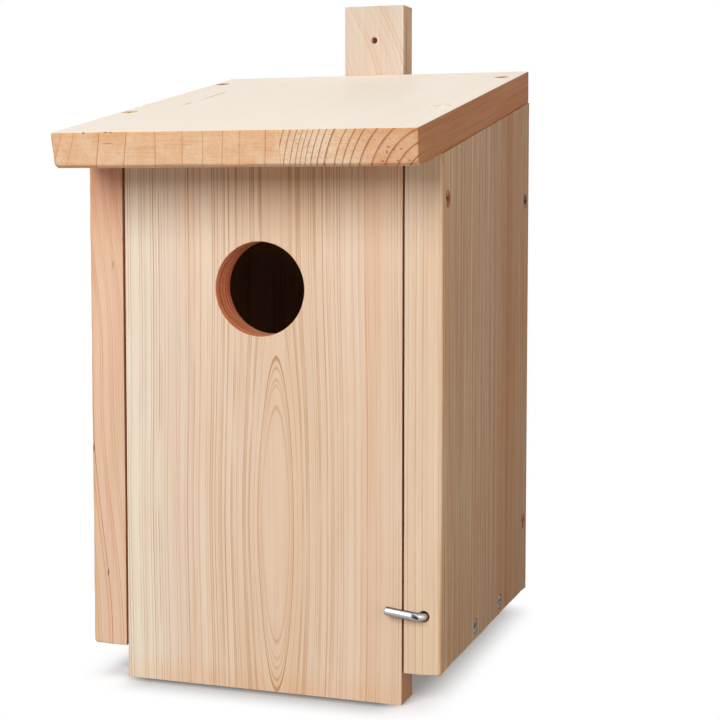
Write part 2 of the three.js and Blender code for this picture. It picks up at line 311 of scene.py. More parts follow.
# The floor shows pale to the camera and dull to the light. It fades to plain white with the distance from
# the box's foot. In front of the door, a painted contact shade from ambient occlusion darkens its colour near
# the door's foot.
def floorMaterial(settings):
    material, start = newMaterial("paleFloor")
    place = start.node("ShaderNodeTexCoord", {}, {}, "Object")
    low, high = corners("back_panel")
    low[1] = sideLow[1]
    middle = (low + high) / 2
    half = (high - low) / 2
    middle[0] -= settings["shadowAside"]
    folded = place.vector("SUBTRACT", (middle[0], middle[1], 0.0)).vector("ABSOLUTE")
    past = folded.vector("SUBTRACT", (half[0], half[1], 0.0)).vector("MAXIMUM", (0.0, 0.0, 0.0))
    seen = seenDirectly(start)
    shade = blendColours(seen, settings["floorDull"], settings["floorBright"])
    outer, inner = settings["shadeEnds"]
    inFront = place.dot(forward).rise(-low[1] - settings["shadeRun"], -low[1]) * seen
    inFront = inFront * place.dot(rightward).size().rise(half[0] + outer, half[0] + inner)
    # painted contact shade: what an ambient occlusion node finds near the door's foot darkens the floor's
    # colour
    for reach, power in settings["contactShades"]:
        clear = start.node("ShaderNodeAmbientOcclusion", {"samples": 16}, {"Distance": reach}, "AO")
        clear = clear.math("POWER", clear, power)
        shade = blendColours(inFront * (1 - clear), shade, (0, 0, 0))
    card = start.node("ShaderNodeBsdfDiffuse", {}, {"Color": shade})
    glow = seen * settings["floorLift"]
    lift = start.node("ShaderNodeEmission", {}, {"Color": (1, 1, 1), "Strength": glow})
    near = start.node("ShaderNodeAddShader", {}, {0: card, 1: lift})
    white = start.node("ShaderNodeEmission", {}, {"Color": (1, 1, 1), "Strength": 1.0})
    fade = past.length().rise(0.0, settings["shadowReach"]) * seen
    mixed = start.node("ShaderNodeMixShader", {}, {0: fade, 1: near, 2: white})
    start.node("ShaderNodeOutputMaterial", {}, {"Surface": mixed})
    return material


# Meshes

mergeDistance = 0.002 * mm


def fullTurn(facets):
    return np.linspace(0, 2 * math.pi, facets + 1)[:-1]


# The squares of a grid of points, joined round where its rows close on themselves.
def gridFaces(shape, closed):
    rows, columns = shape
    index = np.arange(rows * columns).reshape(rows, columns)
    if closed:
        index = np.hstack([index, index[:, :1]])
    corners = [index[:-1, :-1], index[1:, :-1], index[1:, 1:], index[:-1, 1:]]
    return np.stack([corner.ravel() for corner in corners], -1)


# A mesh object from sheets of points and faces, with shared points merged and faces turned outward.
def meshPiece(name, sheets, material=None, smoothAngle=35, sunk=None):
    points, faces, start = [], [], 0
    for sheetPoints, sheetFaces in sheets:
        flat = sheetPoints.reshape(-1, 3)
        points.append(flat)
        faces.append(sheetFaces + start)
        start += len(flat)
    mesh = bpy.data.meshes.new(name)
    mesh.from_pydata(np.concatenate(points).tolist(), [], np.concatenate(faces).tolist())
    if sunk is not None:
        mesh.attributes.new("sunk", "FLOAT", "POINT").data.foreach_set("value", sunk.ravel())
    build = bmesh.new()
    build.from_mesh(mesh)
    bmesh.ops.remove_doubles(build, verts=build.verts, dist=mergeDistance)
    bmesh.ops.dissolve_degenerate(build, edges=build.edges, dist=mergeDistance / 2)
    bmesh.ops.recalc_face_normals(build, faces=build.faces)
    build.to_mesh(mesh)
    build.free()
    smoothMesh(mesh, smoothAngle)
    if material:
        mesh.materials.append(material)
    piece = bpy.data.objects.new(name, mesh)
    bpy.context.scene.collection.objects.link(piece)
    return piece


def smoothMesh(mesh, smoothAngle):
    mesh.polygons.foreach_set("use_smooth", np.ones(len(mesh.polygons), bool))
    mesh.set_sharp_from_angle(angle=math.radians(smoothAngle))


def evenOut(piece):
    evenNormals = piece.modifiers.new("evenNormals", "WEIGHTED_NORMAL")
    evenNormals.keep_sharp = True


# Cuts every cutter out of a piece, keeps the result as its mesh and removes the cutters.
def cutAway(piece, cutters, smoothAngle=35):
    for cutter in cutters:
        cut = piece.modifiers.new("cut", "BOOLEAN")
        cut.operation = "DIFFERENCE"
        cut.solver = "EXACT"
        cut.object = cutter
    evenOut(piece)
    bpy.context.view_layer.update()
    finished = piece.evaluated_get(bpy.context.evaluated_depsgraph_get())
    mesh = bpy.data.meshes.new_from_object(finished)
    piece.modifiers.clear()
    piece.data = mesh
    for cutter in cutters:
        bpy.data.objects.remove(cutter)
    smoothMesh(mesh, smoothAngle)
    evenOut(piece)


# Puts a finished piece in the place of a node, on that node's body, and hides the node.
def standFor(piece, node):
    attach(piece, frame["nodes"][node]["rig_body"])
    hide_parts(node)


# Places along one edge of a board: close together in its rounded ends, and evenly spread between them. Each
# of the ends' places is its half length less the rounding, plus the rounding times the tangent of 0 to 45
# degrees.
def boardTicks(half, rounding, spacing):
    angles = np.radians(np.linspace(0, 45, 4))
    corner = half - rounding + rounding * np.tan(angles)
    inner = half - rounding - 1 * mm
    count = max(2, int(round(2 * inner / spacing)) + 1)
    between = np.linspace(-inner, inner, count)
    return np.concatenate([-corner[::-1], between, corner])


# A board's surface. Each point of a plain box is pulled in to the nearest point of an inner box, smaller by
# the rounding, and pushed out again by the rounding in the direction that it was pulled from. The place
# function then bends the box into the board's own outline.
def boardSheets(size, rounding, roundingAt, place, spacing=8 * mm):
    half = np.array(size) / 2
    ticks = [boardTicks(half[k], rounding, spacing) for k in range(3)]
    sheets = []
    for axis in range(3):
        first, second = (axis + 1) % 3, (axis + 2) % 3
        for hand in (-1, 1):
            points = np.empty((len(ticks[first]), len(ticks[second]), 3))
            points[..., axis] = hand * half[axis]
            grid = np.meshgrid(ticks[first], ticks[second], indexing="ij")
            points[..., first], points[..., second] = grid
            reach = roundingAt(points / half)[..., None] * edgeWear(points)[..., None]
            inner = np.clip(points, reach - half, half - reach)
            pull = points - inner
            length = np.linalg.norm(pull, axis=-1, keepdims=True)
            sheets.append((place(inner + pull / length * reach), gridFaces(points.shape[:2], False)))
    return sheets


edgeWearShare = 0.09
edgeWaves = [  # lengths along the three axes in millimetres, and where each wave starts
    ((9.7, 14.3, 17.9), 0.0),
    ((math.inf, 6.1, -7.7), 1.3),
    ((5.3, math.inf, 3.9), 0.7),
]


# How an eased edge varies along the board: one plus a share of three slow waves.
def edgeWear(points):
    waves = [np.sin((points / mm / np.array(lengths)).sum(-1) + start) for lengths, start in edgeWaves]
    return 1 + edgeWearShare * sum(waves)


# A surface of revolution from a profile of [radius, height], turned about a line from a point.
def revolveSheet(profile, facets, seat, outward):
    profile = np.array(profile)
    first, second = crossAxes(outward)
    radius, turn = np.meshgrid(profile[:, 0], fullTurn(facets), indexing="ij")
    height = profile[:, 1][:, None, None]
    ring = radius[..., None] * (np.cos(turn)[..., None] * first + np.sin(turn)[..., None] * second)
    points = np.array(seat) + ring + height * np.array(outward)
    return points, gridFaces(points.shape[:2], True)


# Two unit vectors square to a direction and to each other.
def crossAxes(outward):
    outward = np.array(outward, float)
    helper = np.array(upward if abs(outward[2]) < 0.9 else rightward)
    first = np.cross(helper, outward)
    first /= np.linalg.norm(first)
    return first, np.cross(outward, first)


def corners(node):
    low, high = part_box(node)
    return np.array(low), np.array(high)


# Wood

# Where a point is in the log that its board was sawn from, in millimetres. The board's length lies along
# the log's third axis. The moved place is shifted by the board's seed, so that no two boards look alike.
# Fibres, pores and saw marks are noise drawn out along or across the board.
def logPlaces(start, grain):
    place = start.node("ShaderNodeTexCoord", {}, {}, "Object")
    normal = start.node("ShaderNodeTexCoord", {}, {}, "Normal")
    moves = {"Location": grain["shift"], "Rotation": grain["turn"], "Scale": (1 / mm,) * 3}
    log = start.node("ShaderNodeMapping", {"vector_type": "POINT"}, {"Vector": place, **moves})
    across, depth, along = [log.node("ShaderNodeSeparateXYZ", {}, {0: log}, axis) for axis in range(3)]
    seed = grain["seed"] * 91.0
    other = grain["secondPlank"]
    secondSide = across.math("GREATER_THAN", across, grain["glueLine"]) if other else None

    # Two planks glued edge to edge have a log each. Every number steps from one to the other at the joint.
    def pick(key):
        if key not in other:
            return grain[key]
        return grain[key] + secondSide * (other[key] - grain[key])

    return SimpleNamespace(
        place=place, normal=normal, across=across, depth=depth, along=along, secondSide=secondSide, pick=pick,
        log=log, seed=seed, moved=log.vector("ADD", (seed, seed, seed)),
        fibre=log.stretch((1.0, 1.0, 0.02)).noise(2.2, 3.0, 0.6),
        pores=log.noise(1.5, 2.0, 0.7),
        sawn=log.stretch((0.05, 3.0, 3.0)).noise(0.7, 2.0, 0.7),
        endFacing=normal.dot(grain["grainAxis"]).size().rise(0.55, 0.85),
    )


# 1 where the surface faces a direction, and 0 where it is well turned away.
def facing(at, direction):
    return at.normal.dot(direction).rise(0.45, 0.9)


# 1 where a number is at the middle of a stretch, falling smoothly to 0 half the stretch's width away.
def spot(number, middle, halfWidth):
    return 1 - ((number - middle) / halfWidth).size().rise(0.0, 1.0)


# Year rings lie round a pith that wanders along the board. A ring's phase is the distance from the pith
# over the ring width, and the width changes at one radius. Each ring ends in a thin dark line, soft on its
# inner side and sharp on its outer side, with a warm zone before it. Hairlines lie between the rings.
def woodRings(at, grain):
    across, depth, along, seed, pick = at.across, at.depth, at.along, at.seed, at.pick
    pithAcross = (along + seed).lineNoise(1 / grain["wanderLength"]) * grain["wander"] + pick("pithAcross")
    for middle, halfLength, move in grain["bends"]:
        pithAcross = pithAcross + along.rise(middle - halfLength, middle + halfLength) * move
    pithDepth = (along + seed).lineNoise(1 / grain["swayLength"]) * grain["sway"] + pick("pithDepth")
    for middle, halfLength, move in grain["swells"]:
        pithDepth = pithDepth + spot(along, middle, halfLength) * move
    for middle, halfWidth, lean in grain["leans"]:
        pithAcross = pithAcross + depth * across.rise(middle + halfWidth, middle - halfWidth) * lean
    aside = across - pithAcross
    deep = depth - pithDepth
    radius = (aside * aside + deep * deep).root()

    width = pick("ringWidth")
    phase = radius / width
    if grain["linePlaces"]:
        phase = (aside + pick("pithAcross")).ladder(grain["linePlaces"])
        phase = phase + at.secondSide * (radius.ladder(grain["ringPlaces"]) - phase)
    if grain["turnRadius"]:
        past = radius - grain["turnRadius"]
        phase = phase + past.atLeast(0.0) * (1 / grain["outerWidth"] - 1 / width)
        width = width + past.math("GREATER_THAN", past, 0.0) * (grain["outerWidth"] - width)
    wobble = at.moved.stretch((1.0, 1.0, 0.09)).noise(1 / grain["wobbleSize"], 2.0) - 0.5
    phase = phase + wobble * pick("wobble") + pick("ringShift")
    phase = phase + ((phase + seed).lineNoise(0.37) - 0.5) * pick("unevenness")
    ring = phase.floor()
    before = (1 + ring - phase) * width

    clear = grain["clearRadius"]
    strength = ring.node("ShaderNodeTexWhiteNoise", {"noise_dimensions": "1D"}, {"W": ring + seed}, "Value")
    strength = strength * (1 - pick("faintest")) + pick("faintest")
    strength = strength.atLeast(1 - radius.rise(clear + 1, clear + 2))
    patchy = at.moved.stretch((0.5, 0.5, 0.05)).noise(0.5, 2.0)
    inputs = {"Vector": at.normal, "Rotation": grain["turn"]}
    logNormal = at.normal.node("ShaderNodeMapping", {"vector_type": "VECTOR"}, inputs)
    spoke = aside.node("ShaderNodeCombineXYZ", {}, {0: aside / radius, 1: deep / radius})
    square = logNormal.vector("DOT_PRODUCT", spoke, "Value")
    slant = (1 - square * square).atLeast(0.01).root()
    late = 1 - before.rise(0.0, pick("lineWidth") * slant.atLeast(0.1))
    for distance, halfWidth, share in grain["echoes"]:
        late = late.atLeast(spot(before, distance, halfWidth) * share)
    late = late * strength * (0.55 + 0.9 * patchy) * radius.rise(clear - 1, clear - 0.6)
    zone = (1 - before.rise(0.0, pick("zoneWidth"))) * strength
    hair = 1 - ((radius * pick("hairs") + seed).lineNoise(1.0, 2.0) - 0.5).size().rise(0.0, 0.032)
    hair = hair * patchy.rise(0.2, 0.6) * radius.rise(clear - 1, clear + 1)
    return SimpleNamespace(radius=radius, late=late, zone=zone, hair=hair)


# The wood's colour: earlywood with broad tone, streaks, fibres and clouds, tinted by face and by washes,
# then the rings over it, and last the end grain, the tint on the eased edges, the marks and the glue line.
def woodTone(at, rings, grain):
    axes = {"across": at.across, "depth": at.depth, "along": at.along}
    latewood = grain["latewood"]
    plain = 1.0
    for direction, tint, hush in grain["faces"]:
        plain = plain * (1 - facing(at, direction) * hush)
    streak = at.log.stretch((1.0, 1.0, 0.012)).noise(0.8, 3.0)
    cloud = at.moved.stretch((1.0, 1.0, 0.07)).noise(0.11, 2.0)
    broad = at.moved.stretch((1.0, 1.0, 0.2)).noise(0.03, 2.0)
    tone = blendColours(broad.rise(0.35, 0.65), grain["earlywood"], grain["warmwood"])
    tone = blendColours(streak.rise(0.4, 0.75) * plain * grain["streaking"], tone, latewood)
    tone = blendColours(at.fibre.rise(0.45, 0.8) * plain * grain["fibring"], tone, latewood)
    tone = tinted(tone, cloud.rise(0.42, 0.62) * plain * grain["clouding"], grain["zoneTint"])
    blotched = at.endFacing * 0.35 + (plain - 1) * 0.22
    tone = tinted(tone, at.moved.noise(0.13, 2.0).rise(0.45, 0.62) * blotched, grain["blotchTint"])
    for direction, tint, hush in grain["faces"]:
        tone = tinted(tone, facing(at, direction), tint)
    for axis, side, tints in grain["washes"]:
        for first, last, tint in tints:
            mask = axes[axis].rise(first, last)
            if side == "end":
                mask = mask * at.endFacing
            elif side != "all":
                mask = mask * facing(at, side)
            tone = tinted(tone, mask, tint)

    contrast = plain * grain["contrast"] * (1 + at.endFacing * (grain["endContrast"] - 1))
    for axis, first, last, gain in grain["louder"]:
        contrast = contrast * (1 + axes[axis].rise(first, last) * gain)
    tone = tinted(tone, rings.zone * contrast * grain["zoneStrength"], grain["zoneTint"])
    tone = blendColours(rings.hair * contrast * grain["hairStrength"], tone, latewood)
    lineColour = blendColours(at.endFacing, latewood, grain["endLatewood"])
    tone = blendColours(rings.late * contrast, tone, lineColour)
    tone = tinted(tone, at.endFacing, grain["endTint"])
    tone = blendColours(at.endFacing * at.pores.rise(0.58, 0.72) * at.pick("poreStrength"), tone, latewood)
    tone = blendColours(at.endFacing * at.sawn.rise(0.5, 0.75) * 0.45, tone, latewood)
    squares = at.normal.stretch(at.normal)
    edge = ((1 - squares.dot(squares)) * 2).rise(0.35, 0.95)  # faces two ways at once
    tone = tinted(tone, edge * grain["edgeStrength"], grain["edgeTint"])
    ragged = at.pores * 1.2 - 0.6
    for centre, halves, strength, tint in grain["marks"]:
        away = at.place.vector("SUBTRACT", tuple(part * mm for part in centre))
        away = away.stretch(tuple(1 / (part * mm) for part in halves)).length()
        tone = blendColours((1 - (away + ragged).rise(0.5, 1.1)) * strength, tone, tint)
    if grain["secondPlank"]:
        glue = 1 - (at.across - grain["glueLine"]).size().rise(0.05, 0.32)
        tone = blendColours(glue * at.endFacing * 0.45, tone, latewood)
    for seat in grain["screwSeats"]:
        reach = at.place.vector("DISTANCE", seat, "Value")
        tone = tinted(tone, 1 - reach.rise(*grain["seatEdge"]), grain["seatTint"])
    return tone


# The wall of a round hole through a board: painted light that makes its wood paler and warmer, with soft
# layers and dark lines along the rings.
def boreTone(at, rings, grain, tone):
    x, z, wide = grain["bore"]
    reach = at.place.vector("SUBTRACT", (x, 0.0, z)).stretch((1.0, 0.0, 1.0)).length()
    wall = 1 - at.normal.dot(backward).size().rise(0.3, 0.7)
    first, last = grain["boreEdge"]
    bore = (1 - reach.rise(wide + first, wide + last)) * wall
    follow = rings.radius * 0.4 + at.seed
    layers = (at.depth * 0.9 + follow).lineNoise(1.0, 3.0)
    knife = (at.depth + follow + at.seed * 2).lineNoise(1.0, 2.0) - 0.5
    knife = 1 - knife.size().rise(0.025, 0.09)
    tone = tinted(tone, bore * (1 - at.endFacing * 0.5), grain["boreTint"])
    tone = tinted(tone, bore * layers.rise(0.54, 0.44) * 0.4, grain["boreShade"])
    tone = tinted(tone, bore * knife * (0.85 - at.endFacing * 0.5), grain["boreLines"])
    return tinted(tone, bore * at.pores.rise(0.5, 0.62) * at.endFacing * 0.6, grain["boreShade"])


def woodMaterial(name, grain):
    material, start = newMaterial(name)
    at = logPlaces(start, grain)
    rings = woodRings(at, grain)
    tone = woodTone(at, rings, grain)
    if grain["bore"]:
        tone = boreTone(at, rings, grain, tone)
    relief = at.fibre * 0.5 + at.endFacing * (at.pores * 0.5 + at.sawn * 0.4)
    inputs = {"Height": relief, "Strength": 0.35, "Distance": 0.1 * mm}
    wires = {"Base Color": tone, "Normal": relief.node("ShaderNodeBump", {}, inputs)}
    wires["Roughness"] = 0.62 + at.fibre * 0.12 + at.endFacing * 0.14 - rings.late * 0.08
    finishMaterial(start, {"Specular IOR Level": 0.25}, wires)
    return material


roofPitch = math.radians(10)
uphill = (0.0, math.cos(roofPitch), math.sin(roofPitch))
roofUp = (0.0, -math.sin(roofPitch), math.cos(roofPitch))

# What most boards share. Lengths are in millimetres, and tints multiply the wood's colour.
commonGrain = {
    "turn": (0, 0, 0),  # brings the board's length to the third axis
    "shift": (0, 0, 0),
    "grainAxis": upward,
    "wanderLength": 160,
    "wander": 3,
    "bends": [],  # middle, half length and sideways move of the pith
    "swells": [],  # middle, half length and inward move
    "leans": [],  # middle, half width and slope, for what lies left of it
    "sway": 0,
    "swayLength": 60,
    "turnRadius": 0,  # where the rings' width changes to the outer one
    "outerWidth": 0,
    "glueLine": 0,  # across, where a second plank with values of its own is glued on
    "secondPlank": {},
    "ringShift": 0,
    "linePlaces": [],  # across the first plank, where its ring lines are given one by one
    "ringPlaces": [],  # from the second plank's pith, likewise
    "wobbleSize": 22,
    "wobble": 0.35,
    "unevenness": 0.6,
    "lineWidth": 0.6,
    "echoes": [],  # fainter lines before each one: distance, half width and strength
    "zoneWidth": 2,  # the warm band before each line
    "zoneStrength": 0.35,
    "zoneTint": (0.94, 0.76, 0.60),
    "faintest": 0.15,
    "hairs": 0.7,
    "louder": [],  # where along or across the board the rings stand out more: first, last and gain
    "clearRadius": -1,  # no rings or hairlines nearer to the pith than this
    "hairStrength": 0.48,
    "earlywood": (0.82, 0.66, 0.52),
    "warmwood": (0.80, 0.615, 0.47),
    "latewood": (0.56, 0.24, 0.085),
    "streaking": 0.16,
    "fibring": 0.12,
    "clouding": 0.2,
    "contrast": 0.8,
    "endContrast": 1.2,
    "endTint": (0.94, 0.74, 0.56),
    "poreStrength": 0.3,
    "edgeTint": (0.93, 0.74, 0.56),
    "edgeStrength": 0.45,
    "faces": [],  # direction, tint and how much plainer that face is
    "washes": [],  # tints that rise along an axis, on one side of the board: first, last and tint
    "endLatewood": (0.45, 0.20, 0.09),
    "blotchTint": (0.97, 0.86, 0.72),
    "marks": [],  # middle, half sizes, strength and colour
    "screwSeats": [],
    "seatTint": (0.60, 0.42, 0.30),  # round a screw's head, fading out between two radii in metres
    "seatEdge": (3.9 * mm, 4.5 * mm),
    "bore": None,  # across, height and radius of a round hole with a look of its own, in metres
    "boreEdge": (0.3 * mm, 0.8 * mm),  # past the radius, where that look fades out
    # painted light on the entrance's wall: it brightens and warms the wood there
    "boreTint": (1.68, 1.40, 1.32),
    "boreShade": (0.80, 0.40, 0.24),
    "boreLines": (0.44, 0.15, 0.08),
}

doorFace = corners("front_panel")[0][1] / mm
darkRed = (0.20, 0.05, 0.025)
purple = (0.22, 0.09, 0.06)
rust = (0.36, 0.13, 0.045)

woods = {
    "front_panel": {
        "seed": 1, "pithAcross": 6.9, "wander": 2, "pithDepth": doorFace - 23, "ringWidth": 2.2,
        "turnRadius": 40, "outerWidth": 5.7, "swells": [(82, 133, 3.1)], "unevenness": 0.15, "wobble": 0.2,
        "lineWidth": 0.5, "zoneStrength": 0.15, "contrast": 1, "clearRadius": 21.5, "faintest": 0.35,
        "washes": [
            ("across", "all", [(-70, 30, (0.975, 0.93, 0.87)), (-52, -60, (1.02, 1.045, 1.04)),
                               (-52, -46, (0.98, 0.92, 0.89)), (-37, -30, (1.03, 1.06, 1.08)),
                               (-15, -6, (0.97, 0.93, 0.91)), (22, 29, (1.03, 1.08, 1.13)),
                               (49, 54, (0.97, 0.885, 0.83)), (57, 63, (1.015, 1.07, 1.11))]),
            # along the height: darker and warmer at the foot; painted shade under the roof's overhang, warmer
            # and darker from 214 mm up; and painted light, paler most in red, at the very top
            ("along", "all", [(16, 2, (1, 0.93, 0.85)), (214, 246, (0.965, 0.90, 0.86)),
                              (243, 256, (1.25, 1.10, 1.10))]),
        ],
        "echoes": [(0.04, 0.07, 0.8), (0.2, 0.05, 0.5), (0.4, 0.05, 0.35), (0.86, 0.08, 0.4)],
        "marks": [((6.6, -80.3, 68), (3.4, 1, 18), 0.4, (0.84, 0.62, 0.42)),
                  # painted shade: a dark red strip down the door's right edge, in the gap beside the right
                  # side
                  ((71, -77.5, 140), (1, 3, 124), 0.75, darkRed)],
        "earlywood": (0.84, 0.73, 0.612), "warmwood": (0.825, 0.709, 0.58), "edgeStrength": 0.15,
        "latewood": (0.50, 0.235, 0.09), "louder": [("along", 205, 245, 0.45), ("across", 15, 45, -0.28)],
        "streaking": 0.11, "fibring": 0.07, "hairStrength": 0.6,
        # painted shade: the door's left and right edges are darker and redder, for the shade in the gaps
        # beside it
        "faces": [(rightward, (0.9, 0.68, 0.56), 0), (leftward, (0.9, 0.68, 0.56), 0)],
    },
    "left_side": {
        "seed": 2, "pithAcross": -170, "pithDepth": -20, "ringWidth": 4.9, "lineWidth": 0.4,
        "latewood": (0.40, 0.10, 0.055), "edgeStrength": 0.2,
        "echoes": [(1.3, 0.2, 0.6)], "bends": [(215, 50, -11), (72, 60, -9.5)],
        "earlywood": (0.81, 0.59, 0.43), "warmwood": (0.79, 0.545, 0.38), "zoneWidth": 3.5,
        "zoneStrength": 0.3, "contrast": 0.95, "hairStrength": 0.14, "fibring": 0.08, "streaking": 0.1,
        "washes": [
            # painted shade: the front edge is redder and darker towards its top, under the roof's overhang
            ("along", forward, [(205, 255, (1.04, 0.81, 0.78))]),
            # painted shade: the inner face is darker and redder where it lines the gap beside the door
            ("depth", rightward, [(-61, -63, (0.85, 0.6, 0.48))]),
            ("across", "all", [(-84, -89, (1, 0.90, 0.76))]),
        ],
        "marks": [((-76.8, -80.3, 204.3), (0.35, 1, 3), 0.55, darkRed),
                  ((-88.5, -80.3, 113.4), (0.7, 1, 2.4), 0.8, darkRed),
                  ((-81.1, -80.3, 51.5), (0.6, 1, 2.2), 0.7, darkRed)],
    },
    "right_side": {
        "seed": 3, "pithAcross": -610, "pithDepth": 410, "ringWidth": 3, "faintest": 0.3,
        "lineWidth": 0.5, "unevenness": 1.1, "streaking": 0.2, "edgeStrength": 0.05,
        "latewood": (0.44, 0.21, 0.09),
        "earlywood": (0.83, 0.685, 0.54), "warmwood": (0.81, 0.64, 0.49),
        "faces": [(rightward, (1.07, 1.05, 0.98), -1.6), (forward, (1, 1, 1), 0.35)],
        "washes": [
            ("depth", rightward, [(-58, -70, (1.16, 1.13, 1.10)), (-15, 5, (0.965, 0.925, 0.92)),
                                  (22, 31, (0.985, 0.915, 0.88)), (36, 45, (1.04, 1.065, 1.06)),
                                  (50, 58, (0.99, 1.055, 1.115)), (78, 88, (1.01, 1, 1)),
                                  (49.5, 51, (0.84, 0.78, 0.70)), (53.5, 55, (1.19, 1.28, 1.43))]),
            ("across", forward, [(73, 75, (0.975, 0.93, 0.88)), (77, 79, (1.02, 1.06, 1.11)),
                                 (79, 82, (1.01, 0.985, 0.945))]),
            # painted shade: the inner face is darker and redder where it lines the gap beside the door
            ("depth", leftward, [(-61, -63, (0.85, 0.6, 0.48))]),
            ("along", rightward, [(130, 20, (0.86, 0.84, 0.79))]),
            ("along", forward, [(120, 30, (1, 0.985, 0.94))]),
            ("depth", "all", [(4, 20, (0.95, 0.97, 0.96)), (25, 47, (0.90, 0.77, 0.68)),
                              (44, 49, (0.92, 0.84, 0.76)), (62, 68, (1.05, 1.17, 1.27))]),
        ],
    },
    "back_panel": {"seed": 4, "pithAcross": -14, "pithDepth": 128, "ringWidth": 3.8,
                   "swells": [(150, 170, -9)]},
    "floor_panel": {
        "seed": 5, "turn": (0, math.radians(-90), 0), "grainAxis": rightward,
        "pithAcross": -70, "pithDepth": 20, "ringWidth": 3.6,
    },
    "hanging_lath": {
        "seed": 6, "pithAcross": -395, "pithDepth": 60, "ringWidth": 17, "ringShift": 0.38,
        "wander": 0, "wobble": 0.1, "unevenness": 0, "echoes": [(2.6, 0.6, 0.8)],
        "bends": [(347, 52, -36)], "contrast": 0.65, "faintest": 0.7,
        "earlywood": (0.69, 0.615, 0.53), "warmwood": (0.67, 0.58, 0.485),
        "faces": [(rightward, (1.38, 1.10, 0.83), 0)],
        "marks": [((16.6, 108, 322), (1.2, 1.3, 20), 0.6, (0.25, 0.12, 0.07))],
    },
    "roof": {
        "seed": 7, "turn": (math.radians(80), 0, 0), "shift": (0, 275.5, 0), "grainAxis": uphill,
        "pithAcross": 400, "pithDepth": 20, "ringWidth": 12, "unevenness": 0, "lineWidth": 0.45,
        "wander": 0, "wobble": 0.04, "endContrast": 1.2, "poreStrength": 0.06,
        "leans": [(24.7, 1, -0.08), (-44, 8, -0.11), (-72, 8, -0.19)],
        "linePlaces": [-98, -86.1, -79.4, -65.1, -51.2, -35.9, -22.5, -12.4, -2.7, 5.7, 18, 30],
        "ringPlaces": [5, 10.5, 15.5, 20.4, 25.2, 30.5, 36.3, 41.7, 45.9, 49.3, 52.9, 57.6, 60.7, 63.6,
                       66.2, 68.5, 70.7, 73.2, 76.2, 79.2, 86],
        "sway": 5, "swayLength": 80, "faintest": 0.6, "seatTint": (0.78, 0.64, 0.54),
        "glueLine": 24.7,
        "secondPlank": {"pithAcross": 101, "pithDepth": 17.5, "ringWidth": 5.2, "unevenness": 0.06,
                        "wobble": 0.06, "lineWidth": 1.3, "poreStrength": 0.9, "faintest": 0.8},
        "earlywood": (0.885, 0.81, 0.71), "warmwood": (0.885, 0.79, 0.68),
        "endTint": (0.96, 0.74, 0.56), "endLatewood": (0.29, 0.085, 0.05),
        "hairStrength": 0.12, "clouding": 0.5,
        "washes": [
            ("across", "end", [(22, 26, (1.04, 1.18, 1.32)), (45, 80, (0.87, 0.68, 0.55))]),
            ("depth", "end", [(-4.5, -8, (0.97, 0.86, 0.72)), (6, 8.5, (0.97, 0.86, 0.72))]),
            ("along", rightward, [(-50, -71, (1.10, 1.16, 1.14)), (95, 150, (0.92, 0.93, 0.94))]),
        ],
        "faces": [(roofUp, (1, 1, 1), 0.9), (rightward, (0.72, 0.355, 0.15), -1.5),
                  (leftward, (0.95, 0.70, 0.52), 0.2)],
        "marks": [((-64.1, 17.4, 291.5), (0.45, 27, 6), 0.9, purple),
                  ((-64.7, -17.6, 285.3), (0.6, 8, 3), 0.6, purple),
                  ((-71.9, -119.2, 266.9), (0.7, 1, 0.7), 0.85, darkRed),
                  ((-60.6, -119.2, 267.2), (1.2, 1, 0.7), 0.85, darkRed),
                  ((-58, -119.2, 267), (0.6, 1, 0.6), 0.85, darkRed),
                  ((-59.9, -118.3, 262), (3.4, 1.5, 0.3), 0.6, rust),
                  ((75.2, -117.7, 259), (0.75, 2, 0.45), 0.85, rust),
                  ((74.4, -117.4, 256.8), (0.5, 2, 1), 0.85, rust),
                  ((72.3, -116.7, 252.9), (0.8, 2, 0.45), 0.85, rust),
                  ((77.7, -117.5, 257.8), (0.75, 2, 0.45), 0.85, rust),
                  ((80.9, -117.6, 258), (0.75, 2, 0.45), 0.85, rust),
                  ((84.6, -116.7, 253.1), (0.75, 2, 0.5), 0.85, rust),
                  ((79.2, -116.7, 253), (0.7, 2, 0.45), 0.85, rust)],
    },
}


# Boards

boards = {
    "rounding": 0.16 * mm,
    "sideOuterRounding": 1.8 * mm,
    "roofDripRounding": 2.4 * mm,
    "roofTopRounding": 0.5 * mm,
    "backEasingShare": 0.2,  # of the outer rounding that the sides' back edges keep
    "roofOverhang": 36 * mm,
    "seamRounding": 0.3 * mm,  # where the roof lies on the sides and the back
    "jointGap": 0.12 * mm,
    "doorLean": 0.4 * mm,
}
sideLow, sideHigh = corners("right_side")
slope = math.tan(roofPitch)


# Height of the plane that the sides and the back are sawn to: the back edge's height less the slope times
# the distance in front of it.
def sawnTop(y):
    return sideHigh[2] - (sideHigh[1] - y) * slope


# 0 up to eleven twelfths of a half length, and rising evenly from there to 1 at its end.
def nearEnd(share):
    return np.clip(share * 12 - 11, 0, 1)


# The same rounding everywhere. The other roundings follow a point's shares, which run from -1 to 1 from the
# board's middle along each axis.
def evenRounding(rounding):
    return lambda shares: np.full(shares.shape[:-1], rounding)


# A side's outer edges are well eased, but less so at the back and not under the roof.
def sideRounding(outer):
    slack = boards["sideOuterRounding"] - boards["rounding"]

    def roundingAt(shares):
        kept = 1 - (1 - boards["backEasingShare"]) * nearEnd(shares[..., 1])
        foot = boards["rounding"] + slack * np.clip(outer * shares[..., 0], 0, 1) * kept
        return foot + (boards["seamRounding"] - foot) * nearEnd(shares[..., 2])
    return roundingAt


